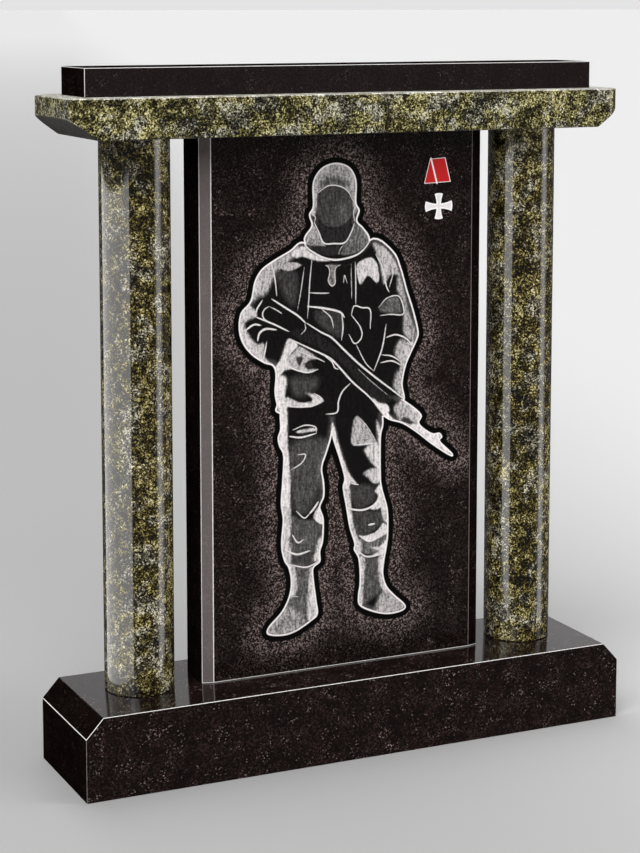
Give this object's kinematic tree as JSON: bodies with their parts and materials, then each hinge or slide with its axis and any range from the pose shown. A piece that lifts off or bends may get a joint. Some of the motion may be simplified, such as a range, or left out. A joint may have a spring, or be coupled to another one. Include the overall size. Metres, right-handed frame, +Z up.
{
  "type": "granite memorial portal",
  "caption": "Free-standing polished stone memorial: chamfered base, round columns and an upright stele with an etched soldier, under a lintel and a cap slab.",
  "frame": {"origin": "on the ground, under the middle of the base", "axes": "+X along the front to the viewer's right, -Y towards the viewer of the etched face, +Z up"},
  "size_m": [1.094, 0.25, 1.2729],
  "materials": {
    "black_gabbro": "polished black gabbro with fine grey flecks, eased edges ground pale",
    "green_granite": "polished dark green granite with clouds of yellow-green grain"
  },
  "bodies": {
    "root": {"base_block": "black_gabbro", "left_column": "green_granite", "right_column": "green_granite", "stele": "black_gabbro", "lintel": "green_granite", "cap_slab": "black_gabbro"}
  },
  "joints": []
}
